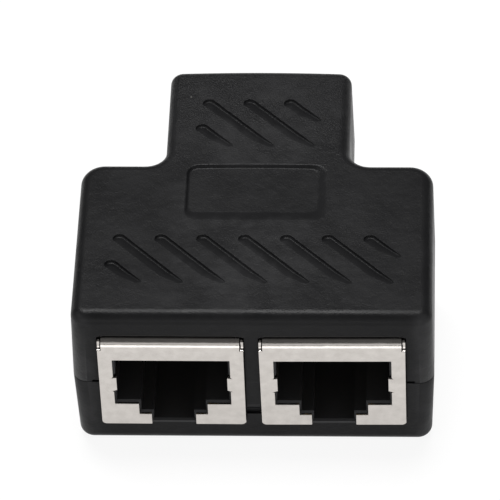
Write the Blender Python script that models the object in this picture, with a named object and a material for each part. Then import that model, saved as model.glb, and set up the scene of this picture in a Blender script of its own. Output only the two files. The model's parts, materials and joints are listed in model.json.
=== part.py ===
"""Network splitter block: a T-shaped two-part moulded housing with two shielded
8-way sockets side by side at the front and one at the end of the neck.

Units are metres and +Z is up. The origin lies under the middle of the block on
the surface that it stands on; the two sockets face -Y and the single one +Y.
"""

import math

import bmesh
import bpy
from mathutils import Matrix, Vector

MM = 0.001

# Clearances
GAP = 0.3 * MM                  # between pieces that seat on each other
SLOT_CLEARANCE = 0.17 * MM      # beside each contact wire in its comb
OVERCUT = 1.0 * MM              # how far a cutting solid runs past the wall it cuts

# Socket: folded metal shield
JACK_WIDTH = 16.0 * MM
JACK_HEIGHT = 13.45 * MM
JACK_DEPTH = 18.0 * MM
SHEET = 0.25 * MM
FRONT_BEND = 0.9 * MM           # outer radius between top panel and front plate
SIDE_BEND = 0.4 * MM            # outer radius between top panel and side panels
PLATE_CORNER = 0.5 * MM         # rounded lower corners of the front plate
SLIT_WIDTH = 0.2 * MM           # relief between front bend and side panel
SLIT_LENGTH = 1.2 * MM
SLIT_INSET = 0.28 * MM
STRIP_SETBACK = 0.45 * MM       # side panel's front edge beside the bend, behind the plate
SPRING_WIDTH = 2.0 * MM         # side fingers that touch the plug's screen
SPRING_LENGTH = 5.2 * MM
SPRING_TIP = 1.0 * MM           # flared end of a finger
SPRING_EDGE = 0.025 * MM        # step between a finger and the edges of its cut-out
SPRING_HEIGHT = 6.5 * MM        # middle of a finger above the socket's underside
SPRING_REACH = 0.35 * MM        # how far a finger stands into the opening
SPRING_NOTCH = 0.28 * MM
TAIL_WIDTH = 1.6 * MM           # shield tails that are soldered into the board
TAIL_PLACE = 6.3 * MM           # behind the front plate

# Socket: plastic insert and the cavity for the plug
CAVITY_WIDTH = 12.1 * MM
HEADER = 2.88 * MM              # band of the plate above the mouth
CAVITY_FLOOR = 3.7 * MM
CAVITY_DEPTH = 13.0 * MM
KEY_WIDTH = 6.8 * MM            # step under the plug's body
KEY_FLOOR = 2.0 * MM
LATCH_WIDTH = 4.1 * MM          # channel for the plug's latch
LATCH_FLOOR = 0.45 * MM
LEAD_IN = 0.45 * MM             # chamfer round the mouth
LATCH_LIP = 0.3 * MM            # what the chamfer leaves of the latch channel's floor
PEG_RADIUS = 1.5 * MM
PEG_SPREAD = 11.4 * MM
PEG_PLACE = 9.6 * MM
PEG_LENGTH = 1.2 * MM

# Contacts
CONTACTS = 8
CONTACT_PITCH = 1.02 * MM
CONTACT_WIDTH = 0.36 * MM
CONTACT_THICKNESS = 0.30 * MM
CONTACT_DROP = 1.1 * MM         # from the shield's top to the wires over the cavity
CONTACT_FRONT = 3.3 * MM        # where the wires turn back into the cavity
CONTACT_TURN = 0.65 * MM
CONTACT_BEND = 0.5 * MM
CONTACT_SLOPE = math.radians(24.0)
CONTACT_SPRING = 6.4 * MM       # free length inside the cavity
ROW_NEAR = 15.2 * MM            # the two rows of solder tails
ROW_FAR = 16.8 * MM
TAIL_LENGTH = 0.6 * MM          # solder tails below the board
COMB_FRONT = 2.1 * MM           # first edge of the comb's window
COMB_LENGTH = 8.5 * MM

# Board
BOARD = 1.0 * MM
BOARD_EDGE_ROOM = 0.3 * MM
HOLE_ROOM = 0.3 * MM

# Housing
WALL = 1.5 * MM
FLOOR = 1.2 * MM
ROOF = 1.5 * MM
STANDOFF = 1.0 * MM             # pads that carry the board
STANDOFF_RADIUS = 1.1 * MM
STANDOFF_INSET = 1.7 * MM
TOP_ROOM = 1.85 * MM            # between the sockets and the roof
SIDE_ROOM = 1.55 * MM           # beside the front sockets
NECK_ROOM = 1.07 * MM           # beside the rear socket
DIVIDER = 1.2 * MM              # post between the front sockets
MIDDLE_ROOM = 4.0 * MM          # between the backs of the sockets
REAR_ROOM = 5.0 * MM            # behind the front sockets, inside the wide block
PROTRUSION = 0.55 * MM          # of the front plates at the parting line
PARTING = 10.2 * MM
LIP_HEIGHT = 1.0 * MM
UPPER_DRAFT = math.radians(1.3)
LOWER_DRAFT = math.radians(1.4)
TOP_FILLET = 1.5 * MM
BOTTOM_FILLET = 1.3 * MM
INNER_FILLET = 0.8 * MM
FRONT_CORNER = 1.6 * MM
BLOCK_CORNER = 2.6 * MM
NECK_CORNER = 1.9 * MM
NECK_FILLET = 2.3 * MM          # hollow corner between block and neck
SMALLEST_CORNER = 0.3 * MM
NECK_BOW = 0.2 * MM             # swell of the neck's end face
CUT_CORNER = 0.6 * MM           # lower corners of the socket cut-outs
SILL_STUB = 1.0 * MM            # lower half of the post between the front sockets
POST_GAP = 0.7 * MM
POST_SETBACK = 0.1 * MM
RIB_THICKNESS = 0.8 * MM        # ribs under the roof that hold the sockets down
RIB_SPREAD = 8.0 * MM
RIB_LENGTH = 11.0 * MM
RIB_PLACE = 9.0 * MM
PIN_RADIUS = 0.7 * MM           # pins that line the two halves up
PIN_WALL = 0.7 * MM
PIN_SPREAD = 31.2 * MM
PIN_BOSS_HEIGHT = 5.5 * MM
PIN_ENGAGEMENT = 3.0 * MM

# Grip grooves and label recess in the roof
GROOVE_PITCH = 4.62 * MM
GROOVE_WIDTH = 1.3 * MM
GROOVE_DEPTH = 0.5 * MM
GROOVE_SPARE = 0.06 * MM        # how far the ramp's shallow edge ends above the roof
GROOVE_SHIFT = 0.3 * MM
GROOVE_SHORTEST = 2.0 * MM
FRONT_BAND_WIDTH = 31.2 * MM    # field that the groove centres stay inside
FRONT_BAND_DEPTH = 7.2 * MM
FRONT_BAND_EDGE = 5.1 * MM      # from the front face to the field
NECK_BAND_WIDTH = 12.8 * MM
NECK_BAND_DEPTH = 7.6 * MM
NECK_BAND_EDGE = 5.75 * MM      # from the neck's end face to the field
LABEL_WIDTH = 15.7 * MM
LABEL_DEPTH = 8.3 * MM
LABEL_EDGE = 14.95 * MM         # from the front face to the recess
LABEL_CORNER = 1.4 * MM
LABEL_RECESS = 0.35 * MM
LABEL_SLOPE = 0.25 * MM
LABEL_BOW = 0.15 * MM

# Faceting and shading
CORNER_STEPS = 6
FILLET_STEPS = 5
BEND_STEPS = 5
TURN_STEPS = 6
BOW_STEPS = 6
SMALL_ARC_STEPS = 4
NOTCH_STEPS = 10
HOLE_SIDES = 8
PAD_SIDES = 12
PEG_SIDES = 16
PIN_SIDES = 20
STRAY_POINT = 0.002 * MM
FLAT_ANGLE = math.radians(0.05)
SHARP_ANGLE = math.radians(21.0)
WIRE_SHARP_ANGLE = math.radians(40.0)
TIGHTEST_MITRE = 0.5

# Heights and places that follow from the sizes above
BOARD_UNDERSIDE = FLOOR + STANDOFF + GAP
JACK_BASE = BOARD_UNDERSIDE + BOARD + GAP
JACK_TOP = JACK_BASE + JACK_HEIGHT
HOUSING_HEIGHT = JACK_TOP + TOP_ROOM + ROOF
JACK_OFFSET = DIVIDER / 2 + GAP + JACK_WIDTH / 2
PLATE_Y = JACK_DEPTH + MIDDLE_ROOM / 2
HALF_DEPTH = PLATE_Y - PROTRUSION
BLOCK_BACK = REAR_ROOM + WALL - MIDDLE_ROOM / 2
HALF_BLOCK = JACK_OFFSET + JACK_WIDTH / 2 + SIDE_ROOM + WALL
HALF_NECK = JACK_WIDTH / 2 + NECK_ROOM + WALL
LIP = (WALL - GAP) / 2
INSERT_FRONT = SHEET + GAP
INSERT_BACK = JACK_DEPTH - SHEET - GAP
INSERT_TOP = JACK_HEIGHT - SHEET - GAP
INSERT_WIDTH = JACK_WIDTH - 2 * INSERT_FRONT
CAVITY_TOP = JACK_HEIGHT - HEADER
CONTACT_RUN = JACK_HEIGHT - CONTACT_DROP
TAIL_END = -(GAP + BOARD + TAIL_LENGTH)
SLOT_HALF = CONTACT_WIDTH / 2 + SLOT_CLEARANCE

JACKS = (
    ("left", -JACK_OFFSET, -PLATE_Y, 0.0),
    ("right", JACK_OFFSET, -PLATE_Y, 0.0),
    ("rear", 0.0, PLATE_Y, math.pi),
)


def clear_scene():
    for old in list(bpy.data.objects):
        bpy.data.objects.remove(old, do_unlink=True)


def material(name, colour, roughness, metallic=0.0):
    made = bpy.data.materials.new(name)
    made.use_nodes = True
    shader = made.node_tree.nodes["Principled BSDF"]
    shader.inputs["Base Color"].default_value = (*colour, 1.0)
    shader.inputs["Roughness"].default_value = roughness
    shader.inputs["Metallic"].default_value = metallic
    made.diffuse_color = (*colour, 1.0)
    return made


def housing_plastic():
    return material("housing_plastic", (0.028, 0.028, 0.029), 0.5)


def shield_plating():
    return material("shield_plating", (0.62, 0.60, 0.57), 0.28, 1.0)


def insert_plastic():
    return material("insert_plastic", (0.012, 0.012, 0.013), 0.45)


def contact_plating():
    return material("contact_plating", (0.83, 0.62, 0.28), 0.25, 1.0)


def board_laminate():
    return material("board_laminate", (0.02, 0.13, 0.06), 0.4)


def new_object(name, mesh, finish=None):
    made = bpy.data.objects.new(name, mesh)
    bpy.context.scene.collection.objects.link(made)
    if finish is not None and not mesh.materials:
        mesh.materials.append(finish)
    return made


def mesh_from(bm, name):
    bmesh.ops.recalc_face_normals(bm, faces=bm.faces)
    mesh = bpy.data.meshes.new(name)
    bm.to_mesh(mesh)
    bm.free()
    return mesh


def loft(name, rings):
    """Closed body through rings of equally many points, capped at both ends."""
    bm = bmesh.new()
    rows = [[bm.verts.new(point) for point in ring] for ring in rings]
    count = len(rows[0])
    for lower, upper in zip(rows, rows[1:]):
        for i in range(count):
            j = (i + 1) % count
            bm.faces.new((lower[i], lower[j], upper[j], upper[i]))
    bm.faces.new(reversed(rows[0]))
    bm.faces.new(rows[-1])
    return mesh_from(bm, name)


def box(name, low, high):
    bm = bmesh.new()
    bmesh.ops.create_cube(bm, size=1.0)
    size = Vector(high) - Vector(low)
    middle = (Vector(high) + Vector(low)) / 2
    bmesh.ops.scale(bm, vec=size, verts=bm.verts)
    bmesh.ops.translate(bm, vec=middle, verts=bm.verts)
    return mesh_from(bm, name)


def cylinder(name, x, y, low, high, radius, sides=PIN_SIDES):
    ring = [(x + radius * math.cos(a), y + radius * math.sin(a))
            for a in (math.tau * (i + 0.5) / sides for i in range(sides))]
    return loft(name, [[(px, py, z) for px, py in ring] for z in (low, high)])


def extrude_along_x(name, profile, low, high):
    """Prism over a profile of (y, z) points."""
    return loft(name, [[(x, y, z) for y, z in profile] for x in (low, high)])


def extrude_along_y(name, profile, low, high):
    """Prism over a profile of (x, z) points."""
    return loft(name, [[(x, y, z) for x, z in profile] for y in (low, high)])


def merged(name, meshes):
    """One mesh that holds several solids clear of each other."""
    bm = bmesh.new()
    for mesh in meshes:
        bm.from_mesh(mesh)
    return mesh_from(bm, name)


def combine(body, tool_mesh, operation):
    """Applies one Boolean of a tool mesh to the body's mesh."""
    tool = new_object(body.name + "_tool", tool_mesh)
    step = body.modifiers.new("combine", "BOOLEAN")
    step.operation = operation
    step.solver = "EXACT"
    step.object = tool
    evaluated = body.evaluated_get(bpy.context.evaluated_depsgraph_get())
    result = bpy.data.meshes.new_from_object(evaluated)
    body.modifiers.remove(step)
    old = body.data
    body.data = result
    result.name = body.name
    bpy.data.objects.remove(tool, do_unlink=True)
    bpy.data.meshes.remove(old)


def cut(body, tool_mesh):
    combine(body, tool_mesh, "DIFFERENCE")


def join(body, tool_mesh):
    combine(body, tool_mesh, "UNION")


def finish_mesh(mesh):
    """Drops stray points of the cuts and shades the round parts smooth."""
    bm = bmesh.new()
    bm.from_mesh(mesh)
    bmesh.ops.remove_doubles(bm, verts=bm.verts, dist=STRAY_POINT)
    bmesh.ops.dissolve_limit(bm, angle_limit=FLAT_ANGLE, verts=bm.verts,
                             edges=bm.edges)
    bmesh.ops.triangulate(bm, faces=[f for f in bm.faces if len(f.verts) > 4])
    bm.to_mesh(mesh)
    bm.free()
    mesh.shade_smooth()
    mesh.set_sharp_from_angle(angle=SHARP_ANGLE)


# Plan outline of the housing

def rounded(before, corner, after, radius, steps):
    """Arc of the given radius that replaces a corner of a plan outline."""
    corner, before, after = Vector(corner), Vector(before), Vector(after)
    to_before = (before - corner).normalized()
    to_after = (after - corner).normalized()
    half = to_before.angle(to_after) / 2
    reach = radius / math.tan(half)
    centre = corner + (to_before + to_after).normalized() * (radius / math.sin(half))
    start = corner + to_before * reach - centre
    end = corner + to_after * reach - centre
    turn = start.angle_signed(end)
    return [centre + Matrix.Rotation(-turn * i / steps, 2) @ start
            for i in range(steps + 1)]


def housing_outline(inset):
    """T-shaped plan outline, anticlockwise, moved inwards all round by inset."""
    a, n = HALF_BLOCK - inset, HALF_NECK - inset
    h, b = HALF_DEPTH - inset, BLOCK_BACK - inset
    corners = [
        ((-a, -h), FRONT_CORNER), ((a, -h), FRONT_CORNER), ((a, b), BLOCK_CORNER),
        ((n, b), None), ((n, h), NECK_CORNER), ((-n, h), NECK_CORNER),
        ((-n, b), None), ((-a, b), BLOCK_CORNER),
    ]
    points = []
    for i, (corner, radius) in enumerate(corners):
        if radius is None:
            fitted = NECK_FILLET + inset
        else:
            fitted = max(radius - inset, SMALLEST_CORNER)
        before = corners[i - 1][0]
        after = corners[(i + 1) % len(corners)][0]
        arc = rounded(before, corner, after, fitted, CORNER_STEPS)
        points += arc
        if i == 4:
            span = arc[-1].x
            for k in range(1, BOW_STEPS):
                x = span * (1 - 2 * k / BOW_STEPS)
                points.append(Vector((x, h + NECK_BOW * (1 - (x / span) ** 2))))
    return points


def ring(inset, z):
    return [(p.x, p.y, z) for p in housing_outline(inset)]


def upper_inset(z):
    return (z - PARTING) * math.tan(UPPER_DRAFT)


def lower_inset(z):
    return (PARTING - z) * math.tan(LOWER_DRAFT)


def fillet_rings(inset, z, radius, up):
    """Rings round a fillet that ends a wall; up is 1 at the roof and -1 at the floor."""
    rings = []
    for k in range(FILLET_STEPS + 1):
        a = math.pi / 2 * k / FILLET_STEPS
        rings.append(ring(inset + radius * (1 - math.cos(a)),
                          z - up * radius * (1 - math.sin(a))))
    return rings


def upper_shell_body():
    """Hollow roof half: outer skin, rebated rim, inner skin."""
    rim = PARTING + GAP / 2
    top, ceiling = HOUSING_HEIGHT, HOUSING_HEIGHT - ROOF
    rebate = PARTING + LIP_HEIGHT + GAP
    outer = fillet_rings(upper_inset(top - TOP_FILLET), top, TOP_FILLET, 1)
    inner_wall = WALL + upper_inset(ceiling - INNER_FILLET)
    inner = fillet_rings(inner_wall, ceiling, INNER_FILLET, 1)
    rings = outer[::-1] + [ring(upper_inset(rim), rim), ring(LIP, rim),
                           ring(LIP, rebate), ring(WALL + upper_inset(rebate), rebate)] + inner
    return loft("upper_shell", rings)


def lower_shell_body():
    """Hollow floor half: outer skin, rim with a raised lip, inner skin."""
    rim = PARTING - GAP / 2
    lip_top = PARTING + LIP_HEIGHT
    outer = fillet_rings(lower_inset(BOTTOM_FILLET), 0.0, BOTTOM_FILLET, -1)
    inner = fillet_rings(WALL + lower_inset(FLOOR + INNER_FILLET), FLOOR, INNER_FILLET, -1)
    rings = outer[::-1] + [ring(lower_inset(rim), rim), ring(LIP + GAP, rim),
                           ring(LIP + GAP, lip_top), ring(WALL, lip_top)] + inner
    return loft("lower_shell", rings)


def socket_cutter(name, x, y, turn):
    """Block with rounded lower corners that opens a wall round one socket."""
    half = JACK_WIDTH / 2 + GAP
    low, high = JACK_BASE - GAP, JACK_TOP + GAP
    corners = [(-half, low), (half, low)]
    profile = []
    for (cx, cz), side in zip(corners, (1, -1)):
        for k in range(CORNER_STEPS + 1):
            a = math.pi / 2 * k / CORNER_STEPS
            if side < 0:
                a = math.pi / 2 - a
            profile.append((cx + side * CUT_CORNER * (1 - math.cos(a)),
                            cz + CUT_CORNER * (1 - math.sin(a))))
    profile += [(half, high), (-half, high)]
    mesh = extrude_along_y(name, profile, -OVERCUT, PROTRUSION + WALL + OVERCUT)
    mesh.transform(Matrix.Translation((x, y, 0.0)) @ Matrix.Rotation(turn, 4, "Z"))
    return mesh


def socket_cutters():
    return merged("socket_cutters", [socket_cutter(n, x, y, t) for n, x, y, t in JACKS])


def groove_cutter(x0, y0, x1, y1):
    """Round-ended groove whose floor ramps down to its far wall."""
    radius = GROOVE_WIDTH / 2
    along = Vector((x1 - x0, y1 - y0)).normalized()
    across = Vector((-along.y, along.x))
    plan = []
    for centre, start in ((Vector((x1, y1)), -math.pi / 2), (Vector((x0, y0)), math.pi / 2)):
        for k in range(CORNER_STEPS + 1):
            a = start + math.pi * k / CORNER_STEPS
            offset = along * math.cos(a) + across * math.sin(a)
            plan.append((centre + offset * radius, offset.dot(across)))
    floor = []
    for point, side in plan:
        drop = (side + 1) / 2 * (GROOVE_DEPTH + GROOVE_SPARE)
        floor.append((point.x, point.y, HOUSING_HEIGHT + GROOVE_SPARE - drop))
    top = [(p.x, p.y, HOUSING_HEIGHT + OVERCUT) for p, side in plan]
    return loft("groove", [floor, top])


def groove_field(width, depth, middle_y):
    """Slanting grooves at one pitch, clipped to a field of the roof."""
    cutters = []
    count = int((width + depth) / GROOVE_PITCH) + 2
    for k in range(-count, count + 1):
        total = middle_y + GROOVE_SHIFT + (k + 0.5) * GROOVE_PITCH
        x0 = max(-width / 2, total - (middle_y + depth / 2))
        x1 = min(width / 2, total - (middle_y - depth / 2))
        if (x1 - x0) * math.sqrt(2) > GROOVE_SHORTEST:
            cutters.append(groove_cutter(x0, total - x0, x1, total - x1))
    return cutters


def label_cutter():
    """Shallow rounded field with sloping sides."""
    def field(grow, z):
        w = LABEL_WIDTH / 2 + grow
        y0 = -HALF_DEPTH + LABEL_EDGE - grow
        y1 = -HALF_DEPTH + LABEL_EDGE + LABEL_DEPTH + grow
        corners = [(-w, y0), (w, y0), (w, y1), (-w, y1)]
        points = []
        for i in range(4):
            points += rounded(corners[i - 1], corners[i], corners[(i + 1) % 4],
                              LABEL_CORNER, CORNER_STEPS)
            if i == 2:
                span = points[-1].x
                for k in range(1, BOW_STEPS):
                    x = span * (1 - 2 * k / BOW_STEPS)
                    points.append(Vector((x, y1 + LABEL_BOW * (1 - (x / span) ** 2))))
        return [(p.x, p.y, z) for p in points]
    slope = LABEL_SLOPE / LABEL_RECESS
    return loft("label_recess", [field(-LABEL_SLOPE, HOUSING_HEIGHT - LABEL_RECESS),
                                 field(slope * OVERCUT, HOUSING_HEIGHT + OVERCUT)])


def pin_places():
    y = (BLOCK_BACK - WALL - MIDDLE_ROOM / 2) / 2
    return [(side * PIN_SPREAD / 2, y) for side in (-1, 1)]


def hold_down_ribs():
    """Ribs that reach from the roof to just above each socket."""
    ribs = []
    for name, x, y, turn in JACKS:
        facing = 1 if turn == 0.0 else -1
        middle = y + facing * RIB_PLACE
        for side in (-1, 1):
            rx = x + side * RIB_SPREAD / 2
            ribs.append(box(name, (rx - RIB_THICKNESS / 2, middle - RIB_LENGTH / 2, JACK_TOP + GAP),
                            (rx + RIB_THICKNESS / 2, middle + RIB_LENGTH / 2,
                             HOUSING_HEIGHT - ROOF / 2)))
    return ribs


def build_upper_shell(finish):
    shell = new_object("upper_shell", upper_shell_body(), finish)
    post_low = JACK_BASE + SILL_STUB + POST_GAP
    post = box("post", (-DIVIDER, -HALF_DEPTH + POST_SETBACK, post_low),
               (DIVIDER, -HALF_DEPTH + WALL, PARTING + LIP_HEIGHT + WALL))
    join(shell, post)
    cut(shell, socket_cutters())
    boss_top = FLOOR + PIN_BOSS_HEIGHT
    pins = [cylinder("pin", x, y, boss_top - PIN_ENGAGEMENT, HOUSING_HEIGHT - ROOF / 2, PIN_RADIUS)
            for x, y in pin_places()]
    join(shell, merged("ribs_and_pins", hold_down_ribs() + pins))
    front_y = -HALF_DEPTH + FRONT_BAND_EDGE + FRONT_BAND_DEPTH / 2
    neck_y = HALF_DEPTH - NECK_BAND_EDGE - NECK_BAND_DEPTH / 2
    grooves = groove_field(FRONT_BAND_WIDTH, FRONT_BAND_DEPTH, front_y)
    grooves += groove_field(NECK_BAND_WIDTH, NECK_BAND_DEPTH, neck_y)
    cut(shell, merged("roof_relief", grooves + [label_cutter()]))
    finish_mesh(shell.data)


def standoff_places():
    """Pads under the board's corners, between the front sockets and in the neck."""
    edge = WALL + STANDOFF_INSET
    front = -HALF_DEPTH + edge
    return [(-HALF_BLOCK + edge, front), (HALF_BLOCK - edge, front), (0.0, front),
            (-HALF_NECK + edge + PEG_RADIUS, HALF_DEPTH - edge),
            (HALF_NECK - edge - PEG_RADIUS, HALF_DEPTH - edge)]


def build_lower_shell(finish):
    shell = new_object("lower_shell", lower_shell_body(), finish)
    opening = box("post_opening", (-DIVIDER, -HALF_DEPTH - OVERCUT, JACK_BASE + SILL_STUB),
                  (DIVIDER, -HALF_DEPTH + WALL + OVERCUT, PARTING + LIP_HEIGHT + OVERCUT))
    cut(shell, socket_cutters())
    cut(shell, opening)
    bosses = [cylinder("boss", x, y, FLOOR / 2, FLOOR + PIN_BOSS_HEIGHT,
                       PIN_RADIUS + GAP + PIN_WALL) for x, y in pin_places()]
    pads = [cylinder("pad", x, y, FLOOR / 2, FLOOR + STANDOFF, STANDOFF_RADIUS,
                     PAD_SIDES)
            for x, y in standoff_places()]
    join(shell, merged("pads_and_bosses", bosses + pads))
    holes = [cylinder("hole", x, y, FLOOR, FLOOR + PIN_BOSS_HEIGHT + OVERCUT,
                      PIN_RADIUS + GAP, PAD_SIDES) for x, y in pin_places()]
    cut(shell, merged("boss_holes", holes))
    finish_mesh(shell.data)


# Sockets, modelled with the front plate's lower middle at the origin and depth along +Y

def contact_places():
    """Across, tail row of each contact."""
    return [((i - (CONTACTS - 1) / 2) * CONTACT_PITCH, ROW_NEAR if i % 2 else ROW_FAR)
            for i in range(CONTACTS)]


def cavity_profile(grow):
    """Stepped outline of the plug's cavity, grown at the sides and floors."""
    m, k, c = CAVITY_WIDTH / 2 + grow, KEY_WIDTH / 2 + grow, LATCH_WIDTH / 2 + grow
    latch_floor = LATCH_FLOOR - (LATCH_FLOOR - LATCH_LIP) * grow / LEAD_IN
    right = [(c, latch_floor), (c, KEY_FLOOR - grow), (k, KEY_FLOOR - grow),
             (k, CAVITY_FLOOR - grow), (m, CAVITY_FLOOR - grow), (m, CAVITY_TOP)]
    return right + [(-x, z) for x, z in reversed(right)]


def build_insert_mesh(finish):
    body = new_object("insert", box("insert", (-INSERT_WIDTH / 2, INSERT_FRONT, 0.0),
                                    (INSERT_WIDTH / 2, INSERT_BACK, INSERT_TOP)), finish)
    stations = ((INSERT_FRONT - LEAD_IN, 2 * LEAD_IN), (INSERT_FRONT + LEAD_IN, 0.0),
                (CAVITY_DEPTH, 0.0))
    rings = []
    for y, grow in stations:
        rings.append([(x, y, z) for x, z in cavity_profile(grow)])
    cut(body, loft("cavity", rings))
    spring_top, spring_low = (SPRING_HEIGHT + side * (SPRING_WIDTH / 2 + GAP) for side in (1, -1))
    reach = CAVITY_WIDTH / 2 + LEAD_IN + GAP
    pockets = []
    for side in (-1, 1):
        xs = sorted((side * (CAVITY_WIDTH / 2 - GAP), side * reach))
        pockets.append(box("pocket", (xs[0], INSERT_FRONT - GAP, spring_low),
                           (xs[1], SPRING_LENGTH + 2 * GAP, spring_top)))
    cut(body, merged("pockets", pockets))
    channel = CONTACT_RUN - CONTACT_THICKNESS / 2 - GAP
    comb_end = COMB_FRONT + COMB_LENGTH
    above, behind = INSERT_TOP + OVERCUT, INSERT_BACK + OVERCUT
    slots = []
    for x, row in contact_places():
        rear = row - CONTACT_THICKNESS / 2 - GAP
        profile = [(COMB_FRONT, above), (COMB_FRONT, CAVITY_TOP - GAP), (comb_end, CAVITY_TOP - GAP),
                   (comb_end, channel), (rear, channel), (rear, -OVERCUT),
                   (behind, -OVERCUT), (behind, above)]
        slots.append(extrude_along_x("slot", profile, x - SLOT_HALF, x + SLOT_HALF))
    cut(body, merged("slots", slots))
    pegs = [cylinder("peg", side * PEG_SPREAD / 2, PEG_PLACE, -PEG_LENGTH, LATCH_FLOOR,
                     PEG_RADIUS, PEG_SIDES) for side in (-1, 1)]
    join(body, merged("pegs", pegs))
    return take_mesh(body, "socket_insert")


def take_mesh(body, name):
    """Finished mesh of a scratch object, which goes away."""
    mesh = body.data
    mesh.name = name
    bpy.data.objects.remove(body, do_unlink=True)
    finish_mesh(mesh)
    return mesh


def arc_points(cx, cy, radius, start, end, steps):
    return [(cx + radius * math.cos(a), cy + radius * math.sin(a))
            for a in (start + (end - start) * k / steps for k in range(steps + 1))]


def shield_envelope(shrink, low):
    """Outside of the folded shield, or its inside when shrunk by the sheet."""
    half, top = JACK_WIDTH / 2 - shrink, JACK_HEIGHT - shrink
    side, front = SIDE_BEND - shrink, FRONT_BEND - shrink
    across = [(-half, low), (half, low)]
    across += arc_points(half - side, top - side, side, 0.0, math.pi / 2, BEND_STEPS)
    across += arc_points(-half + side, top - side, side, math.pi / 2, math.pi, BEND_STEPS)
    back = JACK_DEPTH - shrink
    along = [(shrink, low), (back, low), (back, top)]
    along += arc_points(shrink + front, top - front, front, math.pi / 2, math.pi, BEND_STEPS)
    body = new_object("envelope", extrude_along_y("envelope", across, shrink, back))
    combine(body, extrude_along_x("side_view", along, -half - OVERCUT, half + OVERCUT), "INTERSECT")
    mesh = body.data
    bpy.data.objects.remove(body, do_unlink=True)
    return mesh


def mouth_profile():
    """Plate's cut-out: the cavity's steps with the side fingers standing in."""
    m, k, c = (w / 2 + LEAD_IN for w in (CAVITY_WIDTH, KEY_WIDTH, LATCH_WIDTH))
    low, high = SPRING_HEIGHT - SPRING_WIDTH / 2, SPRING_HEIGHT + SPRING_WIDTH / 2
    inner, notch = m - SPRING_REACH, m + SPRING_NOTCH
    right = [(c, -OVERCUT), (c, KEY_FLOOR - LEAD_IN), (k, KEY_FLOOR - LEAD_IN),
             (k, CAVITY_FLOOR - LEAD_IN), (m, CAVITY_FLOOR - LEAD_IN),
             (m, low - SPRING_NOTCH), (notch, low), (inner, low), (inner, high),
             (notch, high), (m, high + SPRING_NOTCH), (m, CAVITY_TOP)]
    return right + [(-x, z) for x, z in reversed(right)]


def spring_finger(side):
    """Finger that runs back from the plate along the cavity's side wall."""
    inner = CAVITY_WIDTH / 2 + LEAD_IN - SPRING_REACH + SPRING_EDGE
    outer = inner + SHEET
    tip, bend = SPRING_LENGTH, SPRING_LENGTH - SPRING_TIP
    plan = [(inner, SHEET / 2), (outer, SHEET / 2), (outer, bend), (outer + SHEET, tip),
            (inner + SHEET, tip), (inner, bend)]
    heights = [SPRING_HEIGHT + end * (SPRING_WIDTH / 2 - SPRING_EDGE) for end in (-1, 1)]
    return loft("finger", [[(side * x, y, z) for x, y in plan] for z in heights])


def build_shield_mesh(finish):
    body = new_object("shield", shield_envelope(0.0, TAIL_END), finish)
    body.data.materials.clear()
    body.data.materials.append(finish)
    cut(body, shield_envelope(SHEET, TAIL_END - OVERCUT))
    half = JACK_WIDTH / 2
    trims = [box("trim", (-half - OVERCUT, -OVERCUT, TAIL_END - OVERCUT),
                 (half + OVERCUT, TAIL_PLACE - TAIL_WIDTH / 2, 0.0)),
             box("trim", (-half - OVERCUT, TAIL_PLACE + TAIL_WIDTH / 2, TAIL_END - OVERCUT),
                 (half + OVERCUT, JACK_DEPTH + OVERCUT, 0.0))]
    cut(body, merged("trims", trims))
    cut(body, extrude_along_y("mouth", mouth_profile(), -OVERCUT, SHEET + GAP))
    slit_end = JACK_HEIGHT - SLIT_LENGTH
    slits, setbacks = [], []
    sweep = arc_points(0.0, slit_end + STRIP_SETBACK, STRIP_SETBACK, -math.pi / 2, 0.0,
                       SMALL_ARC_STEPS)
    profile = [(-OVERCUT, slit_end)] + sweep + [(STRIP_SETBACK, JACK_HEIGHT + OVERCUT),
                                                (-OVERCUT, JACK_HEIGHT + OVERCUT)]
    for side in (-1, 1):
        inner, outer = side * (half - SLIT_INSET - SLIT_WIDTH), side * (half - SLIT_INSET)
        xs = sorted((inner, outer))
        slits.append(box("slit", (xs[0], -OVERCUT, slit_end),
                         (xs[1], FRONT_BEND, JACK_HEIGHT + OVERCUT)))
        xs = sorted(((inner + outer) / 2, side * (half + OVERCUT)))
        setbacks.append(extrude_along_x("setback", profile, xs[0], xs[1]))
    cut(body, merged("slits", slits))
    cut(body, merged("setbacks", setbacks))
    corners = []
    for side in (-1, 1):
        r = PLATE_CORNER
        arc = [(side * (half - r + x), z + r) for x, z in
               arc_points(0.0, 0.0, r, -math.pi / 2, 0.0, SMALL_ARC_STEPS)]
        profile = arc + [(side * (half + OVERCUT), r), (side * (half + OVERCUT), -OVERCUT),
                         (side * (half - r), -OVERCUT)]
        corners.append(extrude_along_y("corner", profile, -OVERCUT, SHEET))
    cut(body, merged("corners", corners))
    join(body, merged("fingers", [spring_finger(side) for side in (-1, 1)]))
    return take_mesh(body, "socket_shield")


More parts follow.
